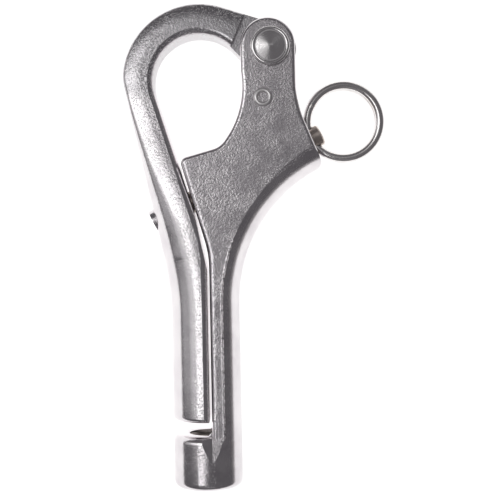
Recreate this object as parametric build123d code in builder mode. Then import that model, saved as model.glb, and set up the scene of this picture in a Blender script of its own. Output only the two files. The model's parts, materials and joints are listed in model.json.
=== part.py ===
"""Pelican hook for a guard wire, cast stainless steel, with an M8 threaded socket.

The stem lies along +Y from the mouth of the socket to the hook, +X is the side
of the pull ring and +Z is out of the flat front face.  The origin is the centre
of the socket's mouth.  Millimetres and degrees.
"""

import os
from math import cos, radians, sin, sqrt, tan

from build123d import *

# ---------------------------------------------------------------- socket and stem
stem_r = 6.35  # radius of the socket and of the closed stem
socket_length = 9.8
thread_r = 3.4  # wall of the tapped M8 hole
drill_point = 118  # included angle of the tapping drill
window = 2.6  # gap between the socket and the end of the hook arm
seam_x = 0.8  # plane where hook arm and body meet
seam_gap = 0.4
socket_round = 1.3
window_round = 1.0
strip_run_out = 5.2  # length over which the flat strip fades into the socket
run_out_lean = 22.0

# ---------------------------------------------------------------- body block
block_thick = 11.0
flank_foot = 33.9  # height at which the right flank leaves the stem
flank_r = 27.6
flank_soft = 4.0  # rounding of the ridge between flank and flat face
flank_fade = 2.0  # how far that rounding stands off at the foot of the flank
flank_full = 65  # the rounding is full where the flank has turned this far
flank_sweep = 82
side_angle = 22.5  # lean of the face that the plunger comes out of
side_round = 1.2
neck_left_x = 7.6  # narrowest place of the neck
neck_left_y = 73.8
neck_left_r = 16.8
neck_bend = 18.0
step_height = 60.5  # outer corner of the step beside the hook arm
step_angle = 15.5
step_round = 1.2
throat_round = 4.0
jaw_angle = 16.2  # lean of the face that the hook arm closes against
jaw_gap = 0.48  # between arm and jaw at the step
jaw_bend = 18.0
edge_round = 0.7
mark_r = 1.5  # small raised casting ring
mark_width = 0.45
mark_height = 0.3
mark_below = 9.2  # from the pivot
mark_left = 1.45

# ---------------------------------------------------------------- pivot and fork
pivot_x = 12.85
pivot_y = 80.6
cheek_r = 5.0
cheek_left = 0.43  # the cast cheeks stand a little off the drilled pivot
cheek_up = 0.4
eye_r = 4.85
slot_play = 0.45  # between the eye's rim and the floor of the fork
tongue_thick = 4.8
tongue_play = 0.1  # on each side of the tongue
shoulder_reach = 6.9  # from the pivot to the arm's full section
shoulder_angle = 155.8
pin_r = 2.2
pin_play = 0.05
head_r = 3.6
head_height = 0.9
head_bevel = 0.75
head_cone = 0.3
head_rim = 0.2

# ---------------------------------------------------------------- hook arm
bow_x = -0.25
bow_y = 75.05
bow_inner_r = 8.5
bow_width = 5.7
bow_thick = 7.4
bow_corner = 8.0  # bend between the bow and the straight bar
bar_offset = 13.78  # from the bow's centre to the bar's outer side
bar_outer_angle = 11.7
bar_inner_angle = 17.5
bar_bend = 44.0
seam_bend = 18.0
swell_foot = 45.6  # below this the arm has the stem's full depth and half-round
swell_length = 24.5
lever_corner_r = 6.33  # corner and crown together make the half-round
lever_crown_r = 6.35
lever_turn = 20  # tilt at which the corner passes into the crown
bow_corner_r = 0.9
bow_crown_r = 9.0
bow_turn = 16
section_reach = 7.6  # inward from the outer side, past the arm's width
inner_round = 1.3
arm_end_round = 1.0
loft_steps = 18

# ---------------------------------------------------------------- plunger
plunger_angle = 26.7
pull_end_x = 22.11
pull_end_y = 65.05
pull_end_stands = 2.24  # out of the side face
plunger_r = 1.95
plunger_play = 0.1
plunger_length = 33.3
nose_bevel = 0.6
pull_bevel = 0.25
collar_r = 2.95
collar_thick = 1.2
chamber_r = 3.2
chamber_bevel = 0.5  # at the mouth, so that the ring swings clear
chamber_floor = 18.3  # from the pull end
bush_start = 3.4
bush_length = 3.0
wire_hole_at = 1.95
wire_hole_r = 1.15
nose_gap = 0.45  # between the nose and the floor of its hole
boss_r = 2.2
boss_end = 35.2
spring_wire = 0.6
spring_r = 2.55
spring_turns = 5.5
spring_play = 0.05

# ---------------------------------------------------------------- pull ring
ring_wire = 1.6
ring_r = 6.73
ring_turns = 1.7
ring_pitch = 1.7

# ---------------------------------------------------------------- worked out from them
pivot = Vector(pivot_x, pivot_y)
bow = Vector(bow_x, bow_y)
bow_outer_r = bow_inner_r + bow_width
lever_end = socket_length + window
lever_x = seam_x - seam_gap / 2
body_x = seam_x + seam_gap / 2
half_block = block_thick / 2
half_bow = bow_thick / 2
half_tongue = tongue_thick / 2
slot_r = eye_r + slot_play
nose_floor = plunger_length + nose_gap
deep = 2 * stem_r  # further than any cut has to reach
skim = 0.02  # a hair, so that a cut never just touches a face


def toward(angle):
    """Unit vector at an angle from +X."""
    return Vector(cos(radians(angle)), sin(radians(angle)))


def crossing(p, u, q, v):
    """Point where the line through p along u meets the line through q along v."""
    w = q - p
    return p + u * ((w.X * v.Y - w.Y * v.X) / (u.X * v.Y - u.Y * v.X))


def angle_of(v):
    """Direction of a vector in the XY plane, from +X."""
    return Vector(1, 0).get_signed_angle(v, Vector(0, 0, 1))


def nearest(shape, point):
    """The corner of a sketch nearest to a point."""
    return shape.vertices().sort_by_distance(point)[0]


up = Vector(0, 1)
inward = toward(plunger_angle + 180)
pull_end = Vector(pull_end_x, pull_end_y)
pin_line = Axis(pull_end, inward)
pin_side = Plane(origin=pull_end, x_dir=inward, z_dir=(0, 0, 1))


def across_pin(distance):
    """Plane across the plunger, this far inward from its pull end."""
    return Plane(origin=pull_end + inward * distance, x_dir=(0, 0, 1), z_dir=inward)


# The bow's outer circle and the eye share an outer tangent, and the bow's inner
# circle and the eye share an inner one.
bow_to_eye = pivot - bow
span = bow_to_eye.length
outer_normal = angle_of(bow_to_eye) + Vector(1, 0).get_angle(
    Vector(bow_outer_r - eye_r, sqrt(span**2 - (bow_outer_r - eye_r) ** 2))
)
inner_normal = angle_of(bow_to_eye) + Vector(1, 0).get_angle(
    Vector(bow_inner_r + eye_r, sqrt(span**2 - (bow_inner_r + eye_r) ** 2))
)
bow_outer_end = bow + toward(outer_normal) * bow_outer_r
eye_top = pivot + toward(outer_normal) * eye_r
bow_inner_end = bow + toward(inner_normal) * bow_inner_r
eye_low = pivot - toward(inner_normal) * eye_r

# The bar's outer side, and the small bend that leads from it into the bow.
bar_up = toward(90 + bar_outer_angle)
bar_out = toward(180 + bar_outer_angle)
bar_point = bow + bar_out * bar_offset
bar_foot = crossing(Vector(-stem_r, 0), up, bar_point, bar_up)
bend_r = bow_outer_r - bow_corner
bend_rise = sqrt(bend_r**2 - (bar_offset - bow_corner) ** 2)
bend_centre = bow + bar_out * (bar_offset - bow_corner) + bar_up * bend_rise
bend_start = bend_centre + bar_out * bow_corner
bend_angle = angle_of(bend_centre - bow) % 360
bend_sweep = bend_angle - 180 - bar_outer_angle

# The bar's inner side, which also sets where the jaw of the body turns.
inner_out = toward(180 + bar_inner_angle)
inner_up = toward(90 + bar_inner_angle)
inner_point = bow + inner_out * bow_inner_r
inner_foot = crossing(Vector(lever_x, 0), up, inner_point, inner_up)

with BuildLine() as outer_path:
    FilletPolyline(
        Vector(-stem_r, lever_end),
        bar_foot,
        bend_start,
        radius=bar_bend,
    )
    CenterArc(bend_centre, bow_corner, 180 + bar_outer_angle, bend_sweep)
    CenterArc(bow, bow_outer_r, bend_angle, outer_normal - bend_angle)
    Line(bow_outer_end, eye_top)

with BuildLine() as inner_path:
    FilletPolyline(Vector(lever_x, lever_end), inner_foot, inner_point, radius=seam_bend)
    CenterArc(bow, bow_inner_r, 180 + bar_inner_angle, inner_normal - 180 - bar_inner_angle)
    Line(bow_inner_end, eye_low)

with BuildSketch() as arm_outline:
    with BuildLine():
        add(outer_path.line)
        add(inner_path.line)
        CenterArc(pivot, eye_r, outer_normal, inner_normal - 180 - outer_normal)
        Line((lever_x, lever_end), (-stem_r, lever_end))
    make_face()

shoulder_out = toward(shoulder_angle)
shoulder = Plane(
    origin=pivot + shoulder_out * shoulder_reach,
    x_dir=(0, 0, 1),
    z_dir=shoulder_out,
)


def blend(start, end, share):
    """Value between two others."""
    return start + (end - start) * share


def eased(share):
    """Share from 0 to 1 that starts and ends softly."""
    return share * share * (3 - 2 * share)


# ---------------------------------------------------------------- hook arm
def up_swell(point):
    """How far up the swell a point lies, from 0 at its foot to 1 at its top."""
    height = (bar_point + bar_up * (point - bar_point).dot(bar_up)).Y
    return min(max((height - swell_foot) / swell_length, 0), 1)


def half_depth(point):
    """Half of the arm's depth, which falls from the stem's to the bow's over the swell."""
    return blend(stem_r, half_bow, eased(up_swell(point)))


def arm_section(plane, half, share):
    """Section of the arm from its outer side inward, share 0 at the lever and 1 at the bow.

    A corner leads from the side into a crown, and the crown into the flat.
    """
    corner = blend(lever_corner_r, bow_corner_r, share)
    crown = blend(lever_crown_r, bow_crown_r, share)
    turn = blend(lever_turn, bow_turn, share)
    flat = corner + (crown - corner) * sin(radians(turn))
    side = half - crown + (crown - corner) * cos(radians(turn))
    with BuildSketch(plane) as section:
        with BuildLine():
            Line((0, -side), (0, side))
            CenterArc((corner, side), corner, 180, turn - 90)
            CenterArc((flat, half - crown), crown, 90 + turn, -turn)
            Polyline((flat, half), (section_reach, half), (section_reach, -half), (flat, -half))
            CenterArc((flat, crown - half), crown, 270, -turn)
            CenterArc((corner, -side), corner, 270 - turn, turn - 90)
        make_face()
    return section.sketch


def inner_corner(plane, half):
    """What the rounding of the inner edge takes away from a section of this half depth."""
    low = half + skim - inner_round
    with BuildSketch(plane) as corner:
        with BuildLine():
            CenterArc((inner_round, low), inner_round, 90, 90)
            Polyline((0, low), (-1, low), (-1, deep), (inner_round, deep), (inner_round, low + inner_round))
        make_face()
    return corner.sketch


# The straight length of the bar, where the section changes.
bar_start = bar_foot + bar_up * (1.1 * bar_bend * tan(radians(bar_outer_angle / 2)))

with BuildLine() as lever_side:
    FilletPolyline(Vector(-stem_r, lever_end), bar_foot, bar_start, radius=bar_bend)

with BuildLine() as bow_side:
    CenterArc(bend_centre, bow_corner, 180 + bar_outer_angle, bend_sweep)
    CenterArc(bow, bow_outer_r, bend_angle, outer_normal - bend_angle)
    Line(bow_outer_end, eye_top)

with BuildPart() as lever_bar:
    add(arm_section(Plane((-stem_r, lever_end), (1, 0, 0), (0, 1, 0)), stem_r, 0))
    sweep(path=lever_side.line)

with BuildPart() as bow_bar:
    add(arm_section(Plane(bend_start, -bar_out, bar_up), half_bow, 1))
    sweep(path=bow_side.line)

with BuildPart() as arm_bar:
    for step in range(loft_steps + 1):
        at = bar_start + (bend_start - bar_start) * (step / loft_steps)
        share = (up_swell(at) + eased(up_swell(at))) / 2
        add(arm_section(Plane(at, -bar_out, bar_up), half_depth(at), share))
    loft()
    add(lever_bar.part)
    add(bow_bar.part)

# The rounding of the inner edge is cut in three lengths too: before, along and beyond
# the straight side of the bar.
edge_start = inner_foot + inner_up * (1.1 * seam_bend * tan(radians(bar_inner_angle / 2)))

with BuildLine() as lever_edge:
    FilletPolyline(Vector(lever_x, lever_end), inner_foot, edge_start, radius=seam_bend)

with BuildLine() as bow_edge:
    CenterArc(bow, bow_inner_r, 180 + bar_inner_angle, inner_normal - 180 - bar_inner_angle)
    Line(bow_inner_end, eye_low)

with BuildPart() as lever_rounding:
    add(inner_corner(Plane((lever_x, lever_end), (-1, 0, 0), (0, 1, 0)), stem_r))
    sweep(path=lever_edge.line)

with BuildPart() as bow_rounding:
    add(inner_corner(Plane(inner_point, inner_out, inner_up), half_bow))
    sweep(path=bow_edge.line)

with BuildPart() as swell_rounding:
    for step in range(loft_steps + 1):
        at = edge_start + (inner_point - edge_start) * (step / loft_steps)
        add(inner_corner(
            Plane(at, inner_out, inner_up),
            half_depth(at + inner_out * inner_round),
        ))
    loft()

with BuildPart() as hook_arm:
    add(arm_outline.sketch)
    extrude(amount=deep, both=True)
    add(arm_bar.part, mode=Mode.INTERSECT)
    for rounding in (lever_rounding, swell_rounding, bow_rounding):
        add(rounding.part, mode=Mode.SUBTRACT)
        add(rounding.part.mirror(Plane.XY), mode=Mode.SUBTRACT)
    # beyond the shoulder only the thin tongue goes on to the pivot
    with BuildSketch(shoulder):
        Rectangle(3 * stem_r, 3 * stem_r)
    extrude(amount=-(shoulder_reach + eye_r + 1), mode=Mode.SUBTRACT)
    # rounded end of the lever
    with BuildSketch() as end_corner:
        with Locations((-stem_r - skim, lever_end)):
            Rectangle(arm_end_round, arm_end_round, align=Align.MIN)
        with Locations((arm_end_round - stem_r - skim, lever_end + arm_end_round)):
            Circle(arm_end_round, mode=Mode.SUBTRACT)
        with Locations((-stem_r - skim, lever_end + arm_end_round)):
            Rectangle(1, arm_end_round + 1, align=Align.MAX)
    revolve(axis=Axis.Y, mode=Mode.SUBTRACT)
    # tongue with the eye
    with BuildSketch() as tongue:
        add(arm_outline.sketch)
        with Locations(Location(pivot + shoulder_out * (shoulder_reach + 1), shoulder_angle)):
            Rectangle(2 * deep, 3 * deep, align=(Align.MAX, Align.CENTER), mode=Mode.INTERSECT)
        with Locations(pivot):
            Circle(pin_r + pin_play, mode=Mode.SUBTRACT)
    extrude(amount=half_tongue, both=True)
    # boss over the hole that the plunger's nose locks in
    with BuildSketch(across_pin(nose_floor)):
        Circle(boss_r)
    extrude(amount=boss_end - nose_floor)
    with BuildSketch(across_pin(nose_floor)):
        Circle(plunger_r + plunger_play)
    extrude(amount=-deep, mode=Mode.SUBTRACT)

# ---------------------------------------------------------------- body
# Jaw, step, neck and the leaning face of the plunger bound the block.
step_corner = crossing(inner_point, inner_up, Vector(0, step_height), Vector(1, 0))
step_corner += Vector(jaw_gap / cos(radians(bar_inner_angle)), 0)
step_way = toward(step_angle)
jaw_turn = crossing(step_corner, toward(90 + jaw_angle), Vector(body_x, 0), up)
side_point = pull_end + inward * pull_end_stands
side_way = toward(90 + side_angle)
cheek = pivot + Vector(-cheek_left, cheek_up)
neck_corner = crossing(cheek + Vector(cheek_r, 0), up, side_point, side_way)
behind = crossing(step_corner, step_way, side_point, side_way)
flank_centre = Vector(stem_r + flank_r, flank_foot)
below = crossing(flank_centre + Vector(0, 0.8 * flank_r), Vector(1, 0), side_point, side_way)

with BuildSketch() as neck:
    with BuildLine():
        Polyline(
            behind,
            neck_corner,
            cheek + Vector(cheek_r, 0),
            cheek - Vector(cheek_r, 0),
            (cheek.X - cheek_r, neck_left_y),
            (0, neck_left_y),
            (0, step_corner.Y - cheek_r),
            close=True,
        )
    make_face()
    with Locations((neck_left_x - neck_left_r, neck_left_y)):
        Circle(neck_left_r, mode=Mode.SUBTRACT)
    with Locations(cheek):
        Circle(cheek_r)

with BuildSketch() as block:
    with BuildLine():
        Polyline(
            (body_x, flank_foot),
            jaw_turn,
            step_corner,
            behind,
            below,
            (stem_r, flank_foot),
            close=True,
        )
    make_face()
    add(neck.sketch)
    with Locations(flank_centre):
        Circle(flank_r, mode=Mode.SUBTRACT)
    throat = block.vertices().filter_by_position(Axis.X, -1, 6).sort_by(Axis.Y)[-1]
    fillet(throat, throat_round)
    fillet(nearest(block, step_corner), step_round)
    fillet(nearest(block, neck_corner), neck_bend)
    fillet(nearest(block, jaw_turn), jaw_bend)
    fillet(block.vertices().sort_by(Axis.X)[-1], side_round)


def around_side(plane, ridge):
    """What a cutter on this plane takes away outside the block's half-round side.

    The side is at the origin and faces -X.  The ridges that it makes with the flat
    faces are rounded.
    """
    with BuildSketch() as section:
        with Locations((stem_r + skim, 0)):
            Circle(stem_r)
            Rectangle(deep, 2 * stem_r, align=(Align.MIN, Align.CENTER))
        band = block_thick + 2 * skim
        Rectangle(deep, band, align=(Align.MIN, Align.CENTER), mode=Mode.INTERSECT)
        if ridge:
            fillet(section.vertices().group_by(Axis.X)[0], ridge)
    with BuildSketch(plane) as around:
        with Locations((-stem_r / 2, 0)):
            Rectangle(3 * stem_r / 2, 3 * stem_r, align=(Align.MIN, Align.CENTER))
        add(section.sketch, mode=Mode.SUBTRACT)
    return around.sketch


# The flank goes on from the stem's half-round; the softer ridge fades in along it.
flank_start = Vector(stem_r, flank_foot)
fade = Vector(flank_fade, flank_fade / tan(radians(flank_full)))

with BuildPart() as flank:
    add(around_side(Plane(flank_start, (-1, 0, 0), (0, -1, 0)), 0))
    revolve(axis=Axis(flank_centre, (0, 0, 1)), revolution_arc=-flank_sweep)

with BuildPart() as flank_ridges:
    add(around_side(Plane(flank_start + fade, (-1, 0, 0), (0, -1, 0)), flank_soft))
    revolve(axis=Axis(flank_centre + fade, (0, 0, 1)), revolution_arc=-flank_sweep)

with BuildPart() as run_out:
    for height, rise in (
        (socket_length + skim, 0),
        (socket_length - strip_run_out, stem_r - half_block),
    ):
        with BuildSketch(Plane((0, height), (1, 0, 0), (0, -1, 0))):
            with BuildLine():
                Polyline(
                    (body_x, half_block + rise),
                    (deep, half_block + rise),
                    (deep, deep + rise),
                    (body_x - run_out_lean, deep + rise),
                    close=True,
                )
            make_face()
    loft()

with BuildPart() as body:
    add(block.sketch)
    extrude(amount=half_block, both=True)
    rims = body.edges().filter_by_position(Axis.Y, flank_foot + 1, deep * deep)
    fillet([edge for edge in rims if abs(edge.center().Z) > half_block - skim], edge_round)
    add(flank.part, mode=Mode.SUBTRACT)
    add(flank_ridges.part, mode=Mode.SUBTRACT)
    # half stem, from inside the socket up to the foot of the flank
    with BuildSketch(Plane((0, flank_foot), (1, 0, 0), (0, -1, 0))) as strip:
        with Locations((-skim, 0)):
            Circle(stem_r)
        with Locations((body_x, 0)):
            Rectangle(deep, block_thick, align=(Align.MIN, Align.CENTER), mode=Mode.INTERSECT)
        fillet(strip.vertices().group_by(Axis.X)[0], edge_round)
    extrude(amount=flank_foot - socket_length + strip_run_out)
    # socket
    with BuildSketch(Plane.XY) as socket:
        Rectangle(stem_r, socket_length, align=Align.MIN)
        fillet(socket.vertices().group_by(Axis.X)[-1], socket_round)
    revolve(axis=Axis.Y)
    # the strip's flats run out into the socket
    add(run_out.part, mode=Mode.SUBTRACT)
    add(run_out.part.mirror(Plane.XY), mode=Mode.SUBTRACT)
    # corner of the window beside the lever's end
    with BuildSketch():
        with Locations((body_x + skim, socket_length - skim)):
            Rectangle(window_round, window_round, align=(Align.MAX, Align.MIN))
        with Locations((body_x - window_round, socket_length + window_round)):
            Circle(window_round, mode=Mode.SUBTRACT)
    extrude(amount=half_block - edge_round, both=True)
    # tapped hole, and the cone that its drill leaves in the foot of the half stem
    with BuildSketch(Plane.XY):
        with BuildLine():
            Polyline(
                (0, -1),
                (thread_r, -1),
                (thread_r, socket_length),
                (0, socket_length + thread_r / tan(radians(drill_point / 2))),
                close=True,
            )
        make_face()
    revolve(axis=Axis.Y, mode=Mode.SUBTRACT)
    # fork for the tongue
    with BuildSketch() as fork:
        with Locations(pivot):
            Circle(slot_r)
        with Locations(Location((pivot.X, pivot.Y), inner_normal + 90)):
            Rectangle(deep, 2 * slot_r, align=(Align.MIN, Align.CENTER))
    extrude(amount=half_tongue + tongue_play, both=True, mode=Mode.SUBTRACT)
    with BuildSketch():
        with Locations(pivot):
            Circle(pin_r)
    extrude(amount=deep, both=True, mode=Mode.SUBTRACT)
    # guide of the plunger and the chamber for its spring
    with BuildSketch(pin_side):
        with BuildLine():
            Polyline(
                (0, 0),
                (plunger_length, 0),
                (plunger_length, plunger_r + plunger_play),
                (chamber_floor, plunger_r + plunger_play),
                (chamber_floor, chamber_r),
                (pull_end_stands + chamber_bevel, chamber_r),
                (0, chamber_r + chamber_bevel + pull_end_stands),
                close=True,
            )
        make_face()
    revolve(axis=pin_line, mode=Mode.SUBTRACT)
    # small raised casting ring
    with BuildSketch(Plane.XY.offset(half_block)):
        with Locations(pivot - Vector(mark_left, mark_below)):
            Circle(mark_r)
            Circle(mark_r - mark_width, mode=Mode.SUBTRACT)
    extrude(amount=mark_height)

# ---------------------------------------------------------------- pivot rivet
with BuildPart() as pivot_rivet:
    with BuildSketch(Plane((pivot.X, pivot.Y), (1, 0, 0), (0, -1, 0))):
        with BuildLine():
            Polyline(
                (0, -half_block - head_height),
                (0, half_block + head_height + head_cone),
                (head_r - head_bevel - head_rim, half_block + head_height),
                (head_r - head_bevel, half_block + head_height),
                (head_r, half_block + head_height - head_bevel),
                (head_r, half_block),
                (pin_r, half_block),
                (pin_r, -half_block),
                (head_r, -half_block),
                (head_r, -half_block - head_height + head_bevel),
                (head_r - head_bevel, -half_block - head_height),
                close=True,
            )
        make_face()
    revolve(axis=Axis(pivot, (0, 0, 1)))

# ---------------------------------------------------------------- locking plunger
with BuildPart() as locking_plunger:
    with BuildSketch(pin_side):
        with BuildLine():
            Polyline(
                (0, 0),
                (plunger_length, 0),
                (plunger_length, plunger_r - nose_bevel),
                (plunger_length - nose_bevel, plunger_r),
                (chamber_floor, plunger_r),
                (chamber_floor, collar_r),
                (chamber_floor - collar_thick, collar_r),
                (chamber_floor - collar_thick, plunger_r),
                (pull_bevel, plunger_r),
                (0, plunger_r - pull_bevel),
                close=True,
            )
        make_face()
    revolve(axis=pin_line)
    # hole for the ring
    ring_eye = pull_end + inward * wire_hole_at
    with BuildSketch(Plane(ring_eye, (0, 0, 1), inward.rotate(Axis.Z, 90))):
        Circle(wire_hole_r)
    extrude(amount=deep, both=True, mode=Mode.SUBTRACT)

# ---------------------------------------------------------------- plunger spring
spring_start = bush_start + bush_length + spring_play
spring_length = chamber_floor - collar_thick - spring_play - spring_start

with BuildPart() as plunger_spring:
    with BuildLine() as coil:
        Helix(
            pitch=(spring_length - spring_wire) / spring_turns,
            height=spring_length - spring_wire,
            radius=spring_r,
            center=pull_end + inward * (spring_start + spring_wire / 2),
            direction=inward,
        )
    with BuildSketch(Plane(origin=coil.line @ 0, z_dir=coil.line % 0)):
        Circle(spring_wire / 2)
    sweep(path=coil.line, is_frenet=True)

# ---------------------------------------------------------------- retaining bush
with BuildPart() as retaining_bush:
    with BuildSketch(across_pin(bush_start)):
        Circle(chamber_r)
        Circle(plunger_r + plunger_play, mode=Mode.SUBTRACT)
    extrude(amount=bush_length)

# ---------------------------------------------------------------- pull ring
ring_centre = pull_end + inward * (wire_hole_at - ring_r)
ring_height = ring_pitch * ring_turns
ring_start = plunger_angle + 180 - 180 * ring_turns

with BuildPart() as pull_ring:
    with BuildLine() as wire:
        turns = Helix(
            pitch=ring_pitch,
            height=ring_height,
            radius=ring_r,
            center=ring_centre - Vector(0, 0, ring_height / 2),
            mode=Mode.PRIVATE,
        )
        add(turns.rotate(Axis(ring_centre, (0, 0, 1)), ring_start))
    with BuildSketch(Plane(origin=wire.line @ 0, z_dir=wire.line % 0)):
        Circle(ring_wire / 2)
    sweep(path=wire.line, is_frenet=True)

os.makedirs("parts", exist_ok=True)

body.part.label = "body"
hook_arm.part.label = "hook_arm"
pivot_rivet.part.label = "pivot_rivet"
locking_plunger.part.label = "locking_plunger"
plunger_spring.part.label = "plunger_spring"
retaining_bush.part.label = "retaining_bush"
pull_ring.part.label = "pull_ring"

export_step(body.part, "parts/body.step")
export_step(hook_arm.part, "parts/hook_arm.step")
export_step(pivot_rivet.part, "parts/pivot_rivet.step")
export_step(locking_plunger.part, "parts/locking_plunger.step")
export_step(plunger_spring.part, "parts/plunger_spring.step")
export_step(retaining_bush.part, "parts/retaining_bush.step")
export_step(pull_ring.part, "parts/pull_ring.step")
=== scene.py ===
# %% [markdown]
# # A pelican hook for a guard wire
#
# The hook is a small stainless casting: a body with a threaded socket, a hook arm
# that swings on a rivet, and a sprung plunger with a pull ring that locks the arm.
# Its solids come from the frame, already at their real size and place, so nothing has
# to be fitted by eye.  This lesson gives them their finish, adds the small pieces that
# the solids leave out, and sets up the light and the camera.  All lengths are in
# metres, and MM turns millimetres into them.

import json
import math

import bmesh
import bpy
from mathutils import Matrix, Vector


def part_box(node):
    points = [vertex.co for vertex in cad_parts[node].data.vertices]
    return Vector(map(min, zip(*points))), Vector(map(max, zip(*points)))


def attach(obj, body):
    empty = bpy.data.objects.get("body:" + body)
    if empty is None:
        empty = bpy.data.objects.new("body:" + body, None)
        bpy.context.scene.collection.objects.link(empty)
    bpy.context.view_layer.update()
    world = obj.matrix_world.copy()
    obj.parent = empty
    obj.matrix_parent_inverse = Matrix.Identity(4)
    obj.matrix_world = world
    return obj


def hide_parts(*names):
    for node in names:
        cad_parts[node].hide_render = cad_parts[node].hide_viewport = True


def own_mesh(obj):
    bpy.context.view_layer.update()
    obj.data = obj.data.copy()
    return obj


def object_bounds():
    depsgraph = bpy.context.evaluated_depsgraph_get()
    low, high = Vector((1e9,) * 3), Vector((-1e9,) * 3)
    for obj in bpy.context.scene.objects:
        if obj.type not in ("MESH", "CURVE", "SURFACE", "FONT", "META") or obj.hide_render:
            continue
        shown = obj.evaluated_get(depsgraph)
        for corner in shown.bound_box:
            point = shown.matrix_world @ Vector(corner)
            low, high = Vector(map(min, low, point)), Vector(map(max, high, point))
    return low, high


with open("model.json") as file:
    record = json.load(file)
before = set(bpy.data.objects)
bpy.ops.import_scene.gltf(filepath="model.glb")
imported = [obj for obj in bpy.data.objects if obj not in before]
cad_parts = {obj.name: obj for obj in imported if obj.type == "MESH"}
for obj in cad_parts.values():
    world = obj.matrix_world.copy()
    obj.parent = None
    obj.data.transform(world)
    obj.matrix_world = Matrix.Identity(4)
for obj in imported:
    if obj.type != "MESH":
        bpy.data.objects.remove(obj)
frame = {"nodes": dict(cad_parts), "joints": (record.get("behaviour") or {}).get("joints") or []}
cad_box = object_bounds()
print("the solids reach from", cad_box[0], "to", cad_box[1])

# %% [markdown]
# ## The camera
#
# The hook lies on a table and the camera looks straight down on its flat front face.
# A lens a little longer than the normal one keeps the perspective slight.  The camera
# could be aimed with a constraint, but a straight-down view needs no aiming: its
# place and one small turn about the vertical say everything.

# %% Place the camera
MM = 0.001
CAMERA_OVER = (8.50 * MM, 43.68 * MM)
CAMERA_HEIGHT = 186.9 * MM
CAMERA_TURN = -1.1
LENS = 72.0
SENSOR = 36.0
NEAREST_SEEN = 10 * MM

camera_data = bpy.data.cameras.new("camera")
camera_data.lens = LENS
camera_data.sensor_width = SENSOR
camera_data.clip_start = NEAREST_SEEN
camera = bpy.data.objects.new("camera", camera_data)
camera.location = (*CAMERA_OVER, CAMERA_HEIGHT)
camera.rotation_euler = (0, 0, math.radians(CAMERA_TURN))
bpy.context.scene.collection.objects.link(camera)
bpy.context.scene.camera = camera
bpy.context.scene.view_settings.view_transform = "Standard"
print("camera", tuple(round(v, 4) for v in camera.location))

# %% [markdown]
# ## Building materials from nodes
#
# Every finish below is a tree of nodes.  Such a tree could be drawn in the editor, but
# then the file would have to carry it.  Wired by hand in code, each node takes several
# lines, so a few helpers make it read like a formula: whatever they are given may be a
# plain number or the output of another node, and they hand back an output.

# %% Helpers that make a node and fill it


def feed(tree, target, entry, value):
    """Fills one input of a node: an output is joined to it, anything else is set on it."""
    if isinstance(value, bpy.types.NodeSocket):
        tree.links.new(value, target.inputs[entry])
    else:
        target.inputs[entry].default_value = value


def node(tree, kind, inputs=None, **settings):
    """Adds a node, sets its properties, and then fills its inputs."""
    made = tree.nodes.new(kind)
    for name, value in settings.items():
        setattr(made, name, value)
    for entry, value in (inputs or {}).items():
        feed(tree, made, entry, value)
    return made


# %% Helpers for sums and patterns


def calc(tree, operation, *inputs, clamp=False):
    """The result of one Math node."""
    made = node(tree, "ShaderNodeMath", dict(enumerate(inputs)), operation=operation, use_clamp=clamp)
    return made.outputs[0]


def ramp(tree, value, start=0.0, end=1.0, low=0.0, high=1.0, smooth=False):
    """Low where the value is at the start, high at the end, and level beyond them."""
    entries = {"Value": value, "From Min": start, "From Max": end, "To Min": low, "To Max": high}
    kind = "SMOOTHSTEP" if smooth else "LINEAR"
    return node(tree, "ShaderNodeMapRange", entries, interpolation_type=kind).outputs["Result"]


def noise(tree, place, size, detail, roughness=0.5):
    """A cloudy pattern with this many waves to the metre."""
    entries = {"Vector": place, "Scale": size, "Detail": detail, "Roughness": roughness}
    return node(tree, "ShaderNodeTexNoise", entries).outputs["Fac"]


def own_place(tree):
    """The place on the piece, in metres."""
    return node(tree, "ShaderNodeTexCoord").outputs["Object"]


def split(tree, vector):
    """The three numbers of a vector."""
    return node(tree, "ShaderNodeSeparateXYZ", {0: vector}).outputs


# %% [markdown]
# ## Groups
#
# An effect such as grain or a worn edge takes many nodes.  They could be repeated in
# each material, but a node group is built once, has named inputs and outputs, and
# works in any material that places it and gives it values.

# %% Helper that starts a node group


def new_group(name, entries, exits):
    """A node group whose named inputs and outputs are all numbers."""
    tree = bpy.data.node_groups.new(name, "ShaderNodeTree")
    for way, names in (("INPUT", entries), ("OUTPUT", exits)):
        for socket_name in names:
            tree.interface.new_socket(socket_name, in_out=way, socket_type="NodeSocketFloat")
    entry = tree.nodes.new("NodeGroupInput").outputs
    leave = tree.nodes.new("NodeGroupOutput")
    return tree, entry, leave


# %% [markdown]
# ## Casting grain
#
# A cast face keeps the fine grain of its mould, even after it is tumbled smooth:
# a low ripple all over, and crumbs that stand proud and catch the light as bright
# specks.  The grain could be a picture, but noise in the piece's own coordinates has
# no seams.  Fine noise gives the ripple, a second noise is cut off high up to leave
# only the crumbs, and a slow one gathers them in patches.

# %% Make the casting grain
PATCH_SIZE = 240.0
PATCH_BAND = (0.38, 0.62)  # the part of the slow noise that is stretched to nought to one
PATCH_PULL = 0.08  # how much lower the crumbs start inside a patch
CRUMB_LEVEL = 0.70  # where they start when their share is nought
CRUMB_REACH = 0.2  # how much lower they start when it is one
CRUMB_SLOPE = 0.08  # from the foot of a crumb to its top


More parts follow.
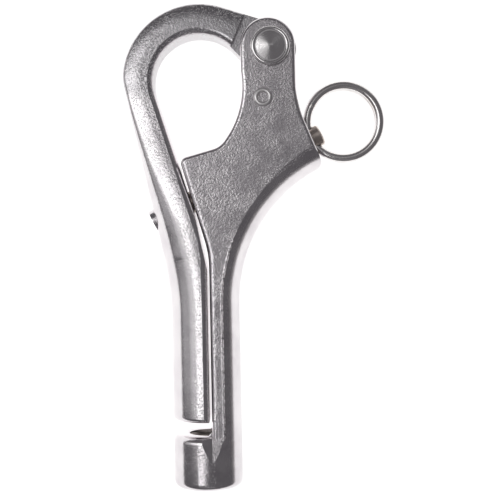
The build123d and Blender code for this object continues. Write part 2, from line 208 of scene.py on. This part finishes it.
def make_casting_grain():
    """Ripple, crumbs and patches; a larger crumb share lets more of the noise through."""
    tree, entry, leave = new_group(
        "Casting grain",
        ["Grain Size", "Crumb Size", "Crumb Share"],
        ["Ripple", "Crumbs", "Patches"],
    )
    place = own_place(tree)
    ripple = noise(tree, place, entry["Grain Size"], detail=3.0, roughness=0.6)
    specks = noise(tree, place, entry["Crumb Size"], detail=1.0)
    slow = noise(tree, place, PATCH_SIZE, detail=3.0, roughness=0.6)
    patches = ramp(tree, slow, *PATCH_BAND)
    level = calc(tree, "MULTIPLY_ADD", entry["Crumb Share"], -CRUMB_REACH, CRUMB_LEVEL)
    foot = calc(tree, "SUBTRACT", level, calc(tree, "MULTIPLY", patches, PATCH_PULL))
    top = calc(tree, "ADD", foot, CRUMB_SLOPE)
    feed(tree, leave, "Ripple", ripple)
    feed(tree, leave, "Crumbs", ramp(tree, specks, foot, top, smooth=True))
    feed(tree, leave, "Patches", patches)
    return tree


casting_grain = make_casting_grain()
print("group", casting_grain.name, "has", len(casting_grain.nodes), "nodes")

# %% [markdown]
# ## Which faces are flat
#
# The belt that finishes such a casting rides over the rounds and polishes them, while
# the flat front and back keep their grain.  The two could be painted apart by hand,
# but the piece's own normal already tells them apart: where it points nearly straight
# up or down, the face is flat.

# %% Make the flat-face mask


def make_flat_faces():
    """One on flat faces, nought on rounds, and a soft change between two steepnesses."""
    tree, entry, leave = new_group("Flat faces", ["Rounds Below", "Flats Above"], ["Flat"])
    facing = node(tree, "ShaderNodeTexCoord").outputs["Normal"]
    straightness = calc(tree, "ABSOLUTE", split(tree, facing)["Z"])
    flat = ramp(tree, straightness, entry["Rounds Below"], entry["Flats Above"], smooth=True)
    feed(tree, leave, "Flat", flat)
    return tree


flat_faces = make_flat_faces()
print("group", flat_faces.name, "has", len(flat_faces.nodes), "nodes")

# %% [markdown]
# ## The worn ridge
#
# Where the flat of the body meets its round side there is a ridge that the belt never
# quite reached.  It stays a little proud and rough, and draws a broken bright line
# down the body.  It could be modelled, but it stands up by about the width of a hair,
# so a mask for the bump is enough.  The ridge runs straight up the stem and then along
# the flank's arc.  Measured from the arc's centre, with heights below the centre
# counted as nought, both stretches lie at one distance, so one formula finds them both.

# %% Make the worn-ridge mask
RIDGE = {
    "Centre X": 33.95 * MM,
    "Centre Y": 33.9 * MM,
    "Radius": 30.75 * MM,
    "Half Width": 0.30 * MM,
    "Foot": 7.0 * MM,
    "Top": 48.0 * MM,
}
RIDGE_FADES_IN = 4.0 * MM
RIDGE_FADES_OUT = 6.0 * MM
BREAK_SIZE = 1500.0
BREAK_BAND = (0.38, 0.58)  # the part of that noise that is stretched to nought to one


def make_worn_ridge():
    """One along the ridge between its foot and its top, with breaks in it."""
    tree, entry, leave = new_group("Worn ridge", list(RIDGE), ["Ridge"])
    place = own_place(tree)
    across, along, _ = split(tree, place)
    aside = calc(tree, "SUBTRACT", across, entry["Centre X"])
    above = calc(tree, "SUBTRACT", along, entry["Centre Y"])
    raised = calc(tree, "MAXIMUM", above, 0.0)
    reach = node(tree, "ShaderNodeCombineXYZ", {"X": aside, "Y": raised}).outputs[0]
    away = node(tree, "ShaderNodeVectorMath", {0: reach}, operation="LENGTH").outputs["Value"]
    gap = calc(tree, "ABSOLUTE", calc(tree, "SUBTRACT", away, entry["Radius"]))
    line = ramp(tree, calc(tree, "DIVIDE", gap, entry["Half Width"]), 1.0, 0.0, smooth=True)
    fade_out = ramp(tree, calc(tree, "SUBTRACT", entry["Top"], along), 0.0, RIDGE_FADES_OUT)
    fade_in = ramp(tree, calc(tree, "SUBTRACT", along, entry["Foot"]), 0.0, RIDGE_FADES_IN)
    breaks = noise(tree, place, BREAK_SIZE, detail=3.0, roughness=0.65)
    broken = ramp(tree, breaks, *BREAK_BAND)
    ended = calc(tree, "MULTIPLY", line, calc(tree, "MULTIPLY", fade_out, fade_in))
    feed(tree, leave, "Ridge", calc(tree, "MULTIPLY", ended, broken))
    return tree


worn_ridge = make_worn_ridge()
print("group", worn_ridge.name, "has", len(worn_ridge.nodes), "nodes")

# %% [markdown]
# ## The rubbed edge
#
# Where the hook arm closes against the body, years of opening and closing have rubbed
# the body's edge round, and the round catches the light all along the seam.  The
# solids keep that edge sharp so that the gap stays even, and a bump can make it look
# round: the height falls away towards the edge, ever more steeply.  The edge is two
# straight lines that meet, so how far a point lies inside it is the larger of two
# distances.

# %% Make the rubbed-edge height
EDGE = {
    "Turn X": 1.0 * MM,
    "Turn Y": 43.04 * MM,
    "Lean": math.radians(16.2),
    "Width": 1.1 * MM,
    "Foot": 13.0 * MM,
}
EDGE_FADES_IN = 2.0 * MM


def make_rubbed_edge():
    """Nought inside the body, and down to minus one at the edge along the seam."""
    tree, entry, leave = new_group("Rubbed edge", list(EDGE), ["Height"])
    across, along, _ = split(tree, own_place(tree))
    aside = calc(tree, "SUBTRACT", across, entry["Turn X"])
    above = calc(tree, "SUBTRACT", along, entry["Turn Y"])
    lean_x = calc(tree, "COSINE", entry["Lean"])
    lean_y = calc(tree, "SINE", entry["Lean"])
    leaning = calc(tree, "MULTIPLY_ADD", above, lean_y, calc(tree, "MULTIPLY", aside, lean_x))
    inside = calc(tree, "MAXIMUM", aside, leaning)
    share = calc(tree, "DIVIDE", inside, entry["Width"], clamp=True)
    left = calc(tree, "SUBTRACT", 1.0, share)
    curve = calc(tree, "MULTIPLY", left, left)
    fade_in = ramp(tree, calc(tree, "SUBTRACT", along, entry["Foot"]), 0.0, EDGE_FADES_IN)
    kept = calc(tree, "MULTIPLY", curve, fade_in)
    feed(tree, leave, "Height", calc(tree, "MULTIPLY", kept, -1.0))
    return tree


rubbed_edge = make_rubbed_edge()
print("group", rubbed_edge.name, "has", len(rubbed_edge.nodes), "nodes")

# %% [markdown]
# ## Cast stainless steel
#
# Body and hook arm are the same steel, tumbled and then run over a belt.  It could be
# a mix of a dull and a bright shader, but one metal shader does it, because only three
# things change over the surface: the tone, the roughness and the normal.  The grain
# tilts the normal and lightens the patches, and the flat-face mask says how much grain
# and how much roughness there is.

# %% Helpers for a whole material
MIX_SHARE, MIX_LOW, MIX_HIGH = 0, 6, 7  # a Mix node's inputs, the last two for colours
MIX_COLOUR = 2  # its colour output


def principled(name, constants):
    """A new material whose Principled shader has these constants."""
    material = bpy.data.materials.new(name)
    material.use_nodes = True
    tree = material.node_tree
    shader = tree.nodes["Principled BSDF"]
    for entry, value in constants.items():
        feed(tree, shader, entry, value)
    return material, tree, shader


def mix_colour(tree, share, low, high):
    """A colour between two others, as far from the low one as the share says."""
    entries = {MIX_SHARE: share, MIX_LOW: low, MIX_HIGH: high}
    return node(tree, "ShaderNodeMix", entries, data_type="RGBA").outputs[MIX_COLOUR]


# %% Dress a shader as cast steel
METAL = {"Metallic": 1.0}
GRAIN = {"Grain Size": 2500.0, "Crumb Size": 3600.0}
FLATS = {"Rounds Below": 0.955, "Flats Above": 0.992}
CAST_ROUGHNESS = (0.17, 0.24)  # on the polished rounds, and on the flats
GRAIN_KEPT = (0.06, 1.0)  # likewise
RIPPLE_HEIGHT = (0.6, 1.5)  # outside the patches, and in them
RIPPLE_MIDDLE = 0.5
CRUMB_HEIGHT = 1.2
GRAIN_DEPTH = 0.05 * MM


def dress_as_cast(tree, shader, dark, light, crumb_share, matt=0.0, relief=0.0):
    """Gives a shader the cast finish; matt makes it as dull as a flat, relief raises it."""
    sizes = {**GRAIN, "Crumb Share": crumb_share}
    grain = node(tree, "ShaderNodeGroup", sizes, node_tree=casting_grain).outputs
    flat = node(tree, "ShaderNodeGroup", FLATS, node_tree=flat_faces).outputs["Flat"]
    dull = calc(tree, "MAXIMUM", flat, matt)
    tone = mix_colour(tree, grain["Patches"], dark, light)
    ripple = calc(tree, "SUBTRACT", grain["Ripple"], RIPPLE_MIDDLE)
    lively = ramp(tree, grain["Patches"], low=RIPPLE_HEIGHT[0], high=RIPPLE_HEIGHT[1])
    crumbs = calc(tree, "MULTIPLY", grain["Crumbs"], CRUMB_HEIGHT)
    texture = calc(tree, "MULTIPLY_ADD", ripple, lively, crumbs)
    kept = ramp(tree, dull, low=GRAIN_KEPT[0], high=GRAIN_KEPT[1])
    height = calc(tree, "MULTIPLY_ADD", texture, kept, relief)
    bump = node(tree, "ShaderNodeBump", {"Strength": 1.0, "Distance": GRAIN_DEPTH, "Height": height})
    roughness = ramp(tree, dull, low=CAST_ROUGHNESS[0], high=CAST_ROUGHNESS[1])
    feed(tree, shader, "Base Color", tone)
    feed(tree, shader, "Roughness", roughness)
    feed(tree, shader, "Normal", bump.outputs["Normal"])
    return tone


# %% [markdown]
# ## The steel of the body and of the arm
#
# The body has the ridge and the rubbed edge besides its grain.  The arm's bow was never
# run over the belt, so it is duller than the bar below it, and its darker tone is
# painted shade.  Both could be materials of their own from the start, but then a
# change to the grain would have to be made twice.  Each dresses its shader as cast
# steel and adds only what is its own.

# %% Make the steel of the body
RIDGE_HEIGHT = 1.8
EDGE_HEIGHT = 2.5
BODY_DARK = (0.68, 0.65, 0.67, 1)
BODY_LIGHT = (0.80, 0.77, 0.785, 1)


def make_cast_body():
    """The cast steel with a worn ridge and a rubbed edge."""
    material, tree, shader = principled("cast body", METAL)
    ridge = node(tree, "ShaderNodeGroup", RIDGE, node_tree=worn_ridge).outputs["Ridge"]
    edge = node(tree, "ShaderNodeGroup", EDGE, node_tree=rubbed_edge).outputs["Height"]
    proud = calc(tree, "MULTIPLY", ridge, RIDGE_HEIGHT)
    relief = calc(tree, "MULTIPLY_ADD", edge, EDGE_HEIGHT, proud)
    dress_as_cast(tree, shader, BODY_DARK, BODY_LIGHT, crumb_share=0.40, relief=relief)
    return material


cast_body = make_cast_body()
print("made", cast_body.name)

# %% Make the steel of the arm
BOW_DULL_AND_SHADE_FROM = 70.5 * MM
BOW_DULL_AND_SHADE_TO = 74.0 * MM
BOW_DULLNESS_AND_SHADE = 0.85
# The bow's darker tone is painted shade, not a colour of the steel.
BOW_PAINTED_SHADE_TONE = (0.60, 0.585, 0.60, 1)
ARM_DARK = (0.72, 0.69, 0.71, 1)
ARM_LIGHT = (0.81, 0.785, 0.795, 1)


def make_cast_arm():
    """The cast steel, duller on the bow, with painted shade darkening its tone there."""
    material, tree, shader = principled("cast arm", METAL)
    along = split(tree, own_place(tree))["Y"]
    # The bow mask makes the bow duller and mixes in the darker tone, which is painted shade.
    bow = ramp(tree, along, BOW_DULL_AND_SHADE_FROM, BOW_DULL_AND_SHADE_TO, high=BOW_DULLNESS_AND_SHADE, smooth=True)
    tone = dress_as_cast(tree, shader, ARM_DARK, ARM_LIGHT, crumb_share=0.30, matt=bow)
    feed(tree, shader, "Base Color", mix_colour(tree, bow, tone, BOW_PAINTED_SHADE_TONE))
    return material


cast_arm = make_cast_arm()
print("made", cast_arm.name)

# %% [markdown]
# ## Turned pieces and wire
#
# The rivet, the plunger, its bush, the spring and the ring were never cast, so they
# have no grain.  What shows on them is fine scratches and a slow change of tone.  Each
# could have a tree of its own, but they differ only in colour and gloss, so one
# function makes all of them, from a colour, a darker one, a roughness and how deep the
# scratches are.

# %% Make the turned and drawn steels
CLOUD_SIZE = 420.0
SCRATCH_SIZE = 3800.0
SCRATCH_DEPTH = 0.03 * MM
ROUGHNESS_SPREAD = 0.25


def make_plain_steel(name, colour, darker, roughness, scratch):
    """A steel without grain."""
    material, tree, shader = principled(name, METAL)
    place = own_place(tree)
    cloud = noise(tree, place, CLOUD_SIZE, detail=3.0)
    scuff = noise(tree, place, SCRATCH_SIZE, detail=2.0)
    tone = mix_colour(tree, cloud, (*colour, 1), (*darker, 1))
    smoothest = roughness * (1 - ROUGHNESS_SPREAD)
    roughest = roughness * (1 + ROUGHNESS_SPREAD)
    bump = node(tree, "ShaderNodeBump", {"Strength": scratch, "Distance": SCRATCH_DEPTH, "Height": scuff})
    feed(tree, shader, "Base Color", tone)
    feed(tree, shader, "Roughness", ramp(tree, scuff, low=smoothest, high=roughest))
    feed(tree, shader, "Normal", bump.outputs["Normal"])
    print("made", name)
    return material


rivet_steel = make_plain_steel(
    "rivet steel", (0.88, 0.86, 0.86), (0.76, 0.74, 0.74), roughness=0.15, scratch=0.25
)
worn_steel = make_plain_steel(
    "worn steel", (0.96, 0.94, 0.93), (0.86, 0.84, 0.84), roughness=0.40, scratch=0.30
)
plunger_steel = make_plain_steel(
    "plunger steel", (0.74, 0.66, 0.60), (0.56, 0.49, 0.44), roughness=0.36, scratch=0.15
)
bush_steel = make_plain_steel(
    "bush steel", (0.50, 0.47, 0.44), (0.38, 0.35, 0.32), roughness=0.35, scratch=0.15
)
spring_steel = make_plain_steel(
    "spring steel", (0.50, 0.50, 0.50), (0.40, 0.40, 0.40), roughness=0.30, scratch=0.10
)
ring_steel = make_plain_steel(
    "ring steel", (0.92, 0.90, 0.89), (0.80, 0.78, 0.77), roughness=0.20, scratch=0.15
)

# %% [markdown]
# ## Which solid gets which finish
#
# The seven solids of the hook are already in the scene, each with a plain finish of
# its own.  They could be copied and dressed, but their shapes are right as they are,
# so only the material in their slots is changed.

# %% Give each solid its finish
FINISHES = {
    "body": cast_body,
    "hook_arm": cast_arm,
    "pivot_rivet": rivet_steel,
    "locking_plunger": plunger_steel,
    "plunger_spring": spring_steel,
    "retaining_bush": bush_steel,
    "pull_ring": ring_steel,
}

for name, material in FINISHES.items():
    solid = frame["nodes"][name]
    for slot in solid.material_slots:
        slot.material = material
    print(name, "has", len(solid.data.polygons), "faces in", material.name)

# %% [markdown]
# ## From a shape to a piece
#
# The thread, the spring and the two beads are made the same way: a small section is
# spun round an axis, and the surface that it sweeps becomes an object.  A curve with
# a round bevel could do some of them, but a spun mesh does them all, and its ends can
# be closed.  These helpers close the ends and turn the shape into a piece.

# %% Helpers for spun pieces


def close_ends(shape, sides):
    """Closes the two ends of a swept section that has this many sides."""
    ends = [edge for edge in shape.edges if edge.is_boundary]
    bmesh.ops.holes_fill(shape, edges=ends, sides=sides)


def make_piece(name, shape, finish, smooth=True):
    """Turns a shape into a piece with this finish, its faces pointing outwards."""
    bmesh.ops.recalc_face_normals(shape, faces=shape.faces)
    for face in shape.faces:
        face.smooth = smooth
    mesh = bpy.data.meshes.new(name)
    shape.to_mesh(mesh)
    shape.free()
    mesh.materials.append(finish)
    piece = bpy.data.objects.new(name, mesh)
    bpy.context.scene.collection.objects.link(piece)
    print(name, "has", len(mesh.polygons), "faces")
    return piece


# %% [markdown]
# ## The thread in the socket
#
# The socket is tapped for the M8 end of the guard wire. The thread could be a bump, but
# it shows as teeth at the socket's mouth, so it has to be a shape. Its crests are one
# triangle, spun round the socket's axis while it climbs by the pitch: a spin with a
# step along its axis is how Blender makes a screw.

# %% Make the crests of the thread
PITCH = 1.25 * MM
HOLE_R = 3.4 * MM
CREST = 0.28 * MM
CREST_WIDTH = 0.9 * PITCH
CREST_SUNK = 0.02 * MM
THREAD_START = 0.35 * MM
THREAD_TURNS = 7
STEPS_A_TURN = 36

shape = bmesh.new()
corners = [
    shape.verts.new((HOLE_R + CREST_SUNK, THREAD_START, 0)),
    shape.verts.new((HOLE_R - CREST, THREAD_START + CREST_WIDTH / 2, 0)),
    shape.verts.new((HOLE_R + CREST_SUNK, THREAD_START + CREST_WIDTH, 0)),
]
profile = [shape.edges.new((corners[i], corners[i - 1])) for i in range(3)]
bmesh.ops.spin(
    shape,
    geom=corners + profile,
    cent=(0, 0, 0),
    axis=(0, 1, 0),
    dvec=(0, PITCH / STEPS_A_TURN, 0),
    angle=math.tau * THREAD_TURNS,
    steps=STEPS_A_TURN * THREAD_TURNS,
)
close_ends(shape, sides=3)
thread = make_piece("socket_thread_crests", shape, bush_steel, smooth=False)
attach(thread, "stem")

# %% [markdown]
# ## The spring of the plunger
#
# Behind its bush the plunger carries a coil spring, and pulling the ring squeezes it
# between the bush and the plunger's collar.  The solid spring can't shorten, so a
# wound one stands for it, and the solid one is hidden.  The wire could follow a curve,
# but a circle spun round the plunger's line, with a step along it, winds it in one go.

# %% Find the line of the spring
SPRING_LENGTH = 10.6 * MM
BUSH_LENGTH = 3.0 * MM
SPRING_PLAY = 0.05 * MM

plunger_pull = next(joint for joint in frame["joints"] if joint["name"] == "plunger_pull")
outward = Vector(plunger_pull["axis"]).normalized()
bush_low, bush_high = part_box("retaining_bush")
bush_middle = (Vector(bush_low) + Vector(bush_high)) / 2
spring_foot = bush_middle - outward * (BUSH_LENGTH / 2 + SPRING_PLAY)

# %% Wind the spring
COIL_R = 2.55 * MM
WIRE_R = 0.3 * MM
WIRE_SIDES = 12
COIL_TURNS = 5.5
COIL_STEPS = 24

upward = Vector((0, 0, 1))
coil_rise = SPRING_LENGTH - 2 * WIRE_R
coil_start = spring_foot - outward * WIRE_R + upward * COIL_R
wire_way = outward.cross(upward)
section = Matrix.Translation(coil_start) @ wire_way.to_track_quat("Z", "Y").to_matrix().to_4x4()

shape = bmesh.new()
bmesh.ops.create_circle(shape, segments=WIRE_SIDES, radius=WIRE_R, matrix=section)
bmesh.ops.spin(
    shape,
    geom=shape.verts[:] + shape.edges[:],
    cent=spring_foot,
    axis=-outward,
    dvec=-outward * coil_rise / (COIL_TURNS * COIL_STEPS),
    angle=math.tau * COIL_TURNS,
    steps=round(COIL_TURNS * COIL_STEPS),
)
close_ends(shape, sides=WIRE_SIDES)
spring = make_piece("wound_spring", shape, spring_steel)
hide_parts("plunger_spring")
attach(spring, "stem")
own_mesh(spring)

# %% [markdown]
# ## The casting mark
#
# Foundries tell one mould from the next by a small raised mark.  This one is a plain
# ring on the neck, a little below the rivet.  The solid has it as a flat step, and
# from above a flat step barely shows.  A bump could round it, but the step's sharp
# edges would stay, so a round bead is laid over it: a circle spun about the ring's
# centre.

# %% Helper that lays a bead
BEAD_SIDES = 16
BEAD_STEPS = 64


def lay_bead(name, centre, ring_r, bead_r, finish):
    """A round bead in a ring about this point, facing up; it rides on the stem."""
    shape = bmesh.new()
    stand = Matrix.Translation(centre + Vector((ring_r, 0, 0))) @ Matrix.Rotation(math.pi / 2, 4, "X")
    bmesh.ops.create_circle(shape, segments=BEAD_SIDES, radius=bead_r, matrix=stand)
    bmesh.ops.spin(
        shape,
        geom=shape.verts[:] + shape.edges[:],
        cent=centre,
        axis=(0, 0, 1),
        angle=math.tau,
        steps=BEAD_STEPS,
        use_merge=True,
    )
    bead = make_piece(name, shape, finish)
    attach(bead, "stem")


# %% Lay the bead of the mark
MARK_LEFT = 1.45 * MM
MARK_BELOW = 9.2 * MM
MARK_SUNK = 0.08 * MM
MARK_R = 1.28 * MM
MARK_BEAD_R = 0.46 * MM
HEAD_HEIGHT = 1.2 * MM

rivet_low, rivet_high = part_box("pivot_rivet")
rivet_axis = Vector(((rivet_low[0] + rivet_high[0]) / 2, (rivet_low[1] + rivet_high[1]) / 2, 0))
neck_height = rivet_high[2] - HEAD_HEIGHT
mark = rivet_axis + Vector((-MARK_LEFT, -MARK_BELOW, neck_height - MARK_SUNK))
lay_bead("casting_mark", mark, MARK_R, MARK_BEAD_R, worn_steel)

# %% [markdown]
# ## The rim of the rivet
#
# The hammer that closed the rivet left a thin raised rim round its head, and the rim
# shines brighter than anything near it.  The head's solid could carry it, but it would
# add many small faces for a thin shine.  It is the same bead again, wider and a little
# finer, laid on the bevel of the head.

# %% Lay the rim of the rivet
RIM_R = 3.12 * MM
RIM_BEAD_R = 0.42 * MM
RIM_BELOW_TOP = 0.58 * MM

rim = rivet_axis + Vector((0, 0, rivet_high[2] - RIM_BELOW_TOP))
lay_bead("rivet_rim", rim, RIM_R, RIM_BEAD_R, rivet_steel)

# %% [markdown]
# ## The floor
#
# The hook lies on white card.  Seen by the camera and in the metal the card is plain
# white, with only a trace of shadow beside the hook.  That could be done by lighting
# the card until it clips, but then the light would wash out the hook as well.  Here
# the card adds a little glow of its own, and only for rays from the camera or from a
# reflection, so the light on the hook doesn't change.  In reflections the glow fades
# out on the right, as on a table whose far side lies in shade, and that leaves the
# right-hand sides of the rounds dark.

# %% Make the white card
CARD = {
    "Metallic": 0.0,
    "Roughness": 0.9,
    "Specular IOR Level": 0.1,
    "Base Color": (0.90, 0.89, 0.87, 1),
    "Emission Color": (1, 1, 1, 1),
}
CARD_GLOW = 0.84
GLOW_FADES_FROM = 50 * MM
GLOW_ENDS_AT = 66 * MM


def make_white_card():
    """White card that glows a little for the camera and in reflections."""
    material, tree, shader = principled("white card", CARD)
    ray = node(tree, "ShaderNodeLightPath").outputs
    across = split(tree, own_place(tree))["X"]
    lit = ramp(tree, across, GLOW_ENDS_AT, GLOW_FADES_FROM)
    mirrored = calc(tree, "MULTIPLY", ray["Is Glossy Ray"], lit)
    seen = calc(tree, "MAXIMUM", ray["Is Camera Ray"], mirrored)
    feed(tree, shader, "Emission Strength", calc(tree, "MULTIPLY", seen, CARD_GLOW))
    return material


# %% Lay the floor
FLOOR_SIZE = 3.0
FLOOR_GAP = 0.02 * MM

floor_height = cad_box[0][2] - FLOOR_GAP
bpy.ops.mesh.primitive_plane_add(size=FLOOR_SIZE, location=(0, 0, floor_height))
floor = bpy.context.object
floor.name = "floor"
floor.data.materials.append(make_white_card())
print("floor at", round(floor_height / MM, 2), "mm")

# %% [markdown]
# ## The room
#
# Polished metal shows the room more than it shows itself, so the room matters as much
# as the lamps.  It is a dim, even grey, which fills every reflection that no lamp
# reaches.  A white room would be simpler, but it would bleach the metal.  Only the
# camera sees the room white, so that the background is white from every side.

# %% Paint the room
ROOM_GREY = (0.125, 0.120, 0.127, 1)
WHITE = (1, 1, 1, 1)

world = bpy.data.worlds.new("grey room")
world.use_nodes = True
bpy.context.scene.world = world
walls = world.node_tree
by_camera = node(walls, "ShaderNodeLightPath").outputs["Is Camera Ray"]
backdrop = walls.nodes["Background"]
feed(walls, backdrop, "Color", mix_colour(walls, by_camera, ROOM_GREY, WHITE))
feed(walls, backdrop, "Strength", 1.0)
print("world", world.name)

# %% [markdown]
# ## The soft boxes
#
# Soft boxes stand round the hook, each for one reflection.  Lamps without a size would
# be simpler, but on metal they show only as dots.  A face that tilts by some angle
# mirrors what leans twice as far, so the place of a box decides which faces it
# brightens, and its level decides how much.  The main one draws the bright streak down
# the rounds, and the low, side and bar boxes shade the faces beyond it.  The near one
# keeps the flat faces from going dark.  The far and the foot box reach the faces that
# look up or down the hook, and the rim box draws the thin lines on the right.

# %% Helper that hangs a soft box
BOX_DISTANCE = 0.6
BOX_TARGET = Vector((0, 45 * MM, 0))


def soft_box(name, lean, around, width, length, level, along=0.0):
    """A soft box aimed at the hook, this far from overhead and this bright to look at.

    Its width runs the way it leans, and its length sideways.  It may stand further
    along the hook than the place it leans from.
    """
    data = bpy.data.lights.new(name, "AREA")
    data.shape = "RECTANGLE"
    data.size = length
    data.size_y = width
    data.energy = level * math.pi * width * length
    lamp = bpy.data.objects.new(name, data)
    way = Vector((
        math.sin(math.radians(lean)) * math.cos(math.radians(around)),
        math.sin(math.radians(lean)) * math.sin(math.radians(around)),
        math.cos(math.radians(lean)),
    ))
    lamp.location = BOX_TARGET + way * BOX_DISTANCE + Vector((0, along, 0))
    lamp.rotation_euler = way.to_track_quat("Z", "Y").to_euler()
    bpy.context.scene.collection.objects.link(lamp)
    print(name, "gives", round(data.energy, 2), "W")


# %% Hang the soft boxes
soft_box("main soft box", lean=21.5, around=183, width=0.21, length=0.50, level=1.70)
soft_box("low soft box", lean=43, around=172, width=0.22, length=0.40, level=0.58)
soft_box("side soft box", lean=68, around=172, width=0.28, length=0.40, level=0.30)
soft_box("near soft box", lean=8, around=190, width=0.10, length=0.28, level=0.40, along=0.135)
soft_box("far soft box", lean=17, around=95, width=0.14, length=0.30, level=0.16)
soft_box("bar soft box", lean=46, around=169, width=0.34, length=0.12, level=1.0)
soft_box("rim soft box", lean=80, around=55, width=0.14, length=0.30, level=0.60)
soft_box("foot soft box", lean=54, around=-90, width=0.20, length=0.40, level=0.12)
